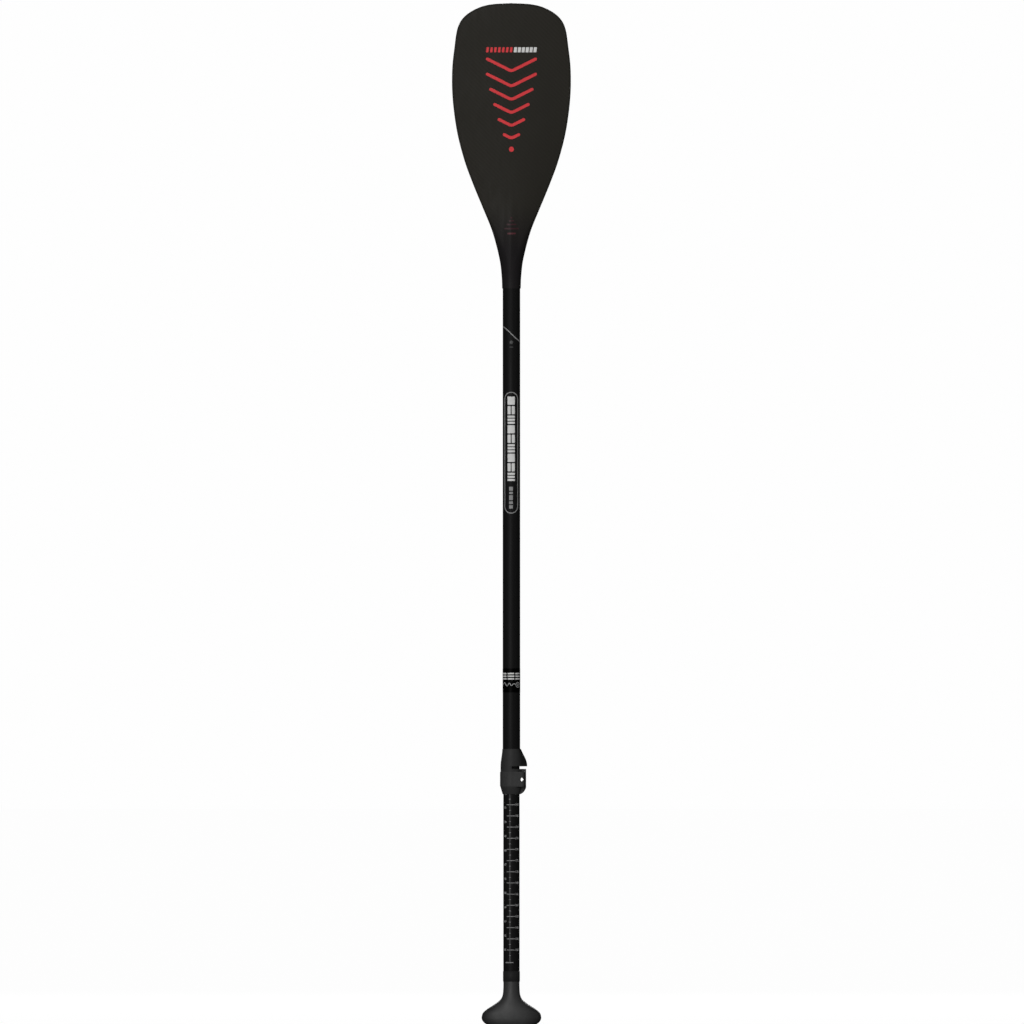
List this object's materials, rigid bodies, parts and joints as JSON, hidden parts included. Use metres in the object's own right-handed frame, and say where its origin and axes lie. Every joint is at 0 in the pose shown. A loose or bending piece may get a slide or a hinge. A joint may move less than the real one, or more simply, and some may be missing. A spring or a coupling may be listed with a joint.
{
  "type": "adjustable single blade paddle",
  "caption": "Upright single blade paddle with a canted teardrop blade, telescopic round shaft, cam-lever length clamp and a T-shaped palm grip.",
  "frame": {"origin": "on the shaft's axis, at the flat end of the palm grip", "axes": "+Z along the shaft from the grip to the blade's tip; -Y is the blade's front face, which the blade leans towards; +X is the side of the clamp's ears"},
  "size_m": [0.2126, 0.1031, 1.832],
  "materials": {
    "blade_laminate": "satin moulded carbon laminate",
    "blade_edge": "matt moulded rail",
    "foam": "closed-cell foam",
    "shaft_carbon": "satin wrapped carbon tube",
    "label_film": "gloss printed film",
    "clamp_nylon": "fine-grained moulded nylon",
    "lever_nylon": "fine-grained moulded nylon",
    "stainless": "polished stainless steel",
    "extension_carbon": "satin wrapped carbon tube with a printed scale",
    "plug_nylon": "moulded nylon",
    "seal_rubber": "matt rubber",
    "grip_soft": "soft-touch overmould",
    "grip_core_nylon": "moulded nylon",
    "sleeve_film": "dark shrink sleeve"
  },
  "bodies": {
    "handle": {"extension_tube": "extension_carbon", "extension_end_plug": "plug_nylon", "end_plug_seal": "seal_rubber", "grip_cover": "grip_soft", "grip_core": "grip_core_nylon", "grip_joint_sleeve": "sleeve_film"},
    "shaft": {"blade_front_skin": "blade_laminate", "blade_back_skin": "blade_laminate", "blade_foam_core": "foam", "blade_edge_rail": "blade_edge", "shaft_tube": "shaft_carbon", "shaft_float_plug": "foam", "shaft_label": "label_film", "clamp_collar": "clamp_nylon", "cam_barrel": "stainless", "clamp_bolt": "stainless", "clamp_washer": "stainless", "clamp_nut": "stainless", "cam_pad": "clamp_nylon"},
    "lever": {"cam_lever": "lever_nylon"}
  },
  "joints": [
    {"name": "length_slide", "type": "slide", "parent": "handle", "child": "shaft", "axis": [0, 0, 1], "range_m": [-0.3, 0.15]},
    {"name": "lever_hinge", "type": "hinge", "parent": "shaft", "child": "lever", "pos_m": [0.0186, -0.0146, 0.4436], "axis": [0, 0, 1], "range_deg": [0, 110]}
  ]
}
